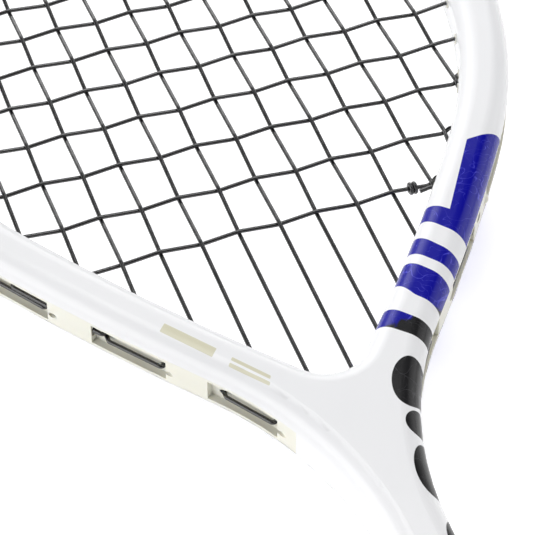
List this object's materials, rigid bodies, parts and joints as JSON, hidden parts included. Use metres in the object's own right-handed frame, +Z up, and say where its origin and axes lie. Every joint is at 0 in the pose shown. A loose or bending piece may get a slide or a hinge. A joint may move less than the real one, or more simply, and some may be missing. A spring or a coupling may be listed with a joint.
{
  "type": "squash racket",
  "caption": "Squash racket with a white teardrop head, open throat, black string bed, pale string strips let into the sides and a wrapped octagonal handle.",
  "frame": {"origin": "centre of the butt cap's end face", "axes": "+Y from the butt to the tip of the head, +X across the face, +Z up out of the string bed"},
  "size_m": [0.211, 0.6855, 0.0346],
  "materials": {
    "shell": "glossy white lacquer over carbon fibre, with blue and black marbled blocks",
    "strip": "satin moulded nylon, ivory",
    "bumper": "satin moulded nylon, ivory, scuffed at the tip",
    "string": "coated multifilament nylon, black",
    "foam": "rigid moulded foam",
    "grip": "perforated synthetic leather wrap, tacky",
    "tape": "thin self-adhesive vinyl",
    "collar": "soft matt rubber",
    "cap": "fine-textured moulded plastic",
    "badge": "domed glossy label",
    "staple": "bright wire"
  },
  "bodies": {
    "root": {"frame": "shell", "throat_string_guide": "strip", "left_grommet_strip": "strip", "right_grommet_strip": "strip", "head_bumper": "bumper", "main_string": "string", "cross_string": "string", "main_string_knots": "string", "cross_string_knots": "string", "handle_pallet": "foam", "grip_wrap": "grip", "grip_finishing_tape": "tape", "grip_collar": "collar", "butt_cap": "cap", "butt_badge": "badge", "butt_cap_staples": "staple"}
  },
  "joints": []
}
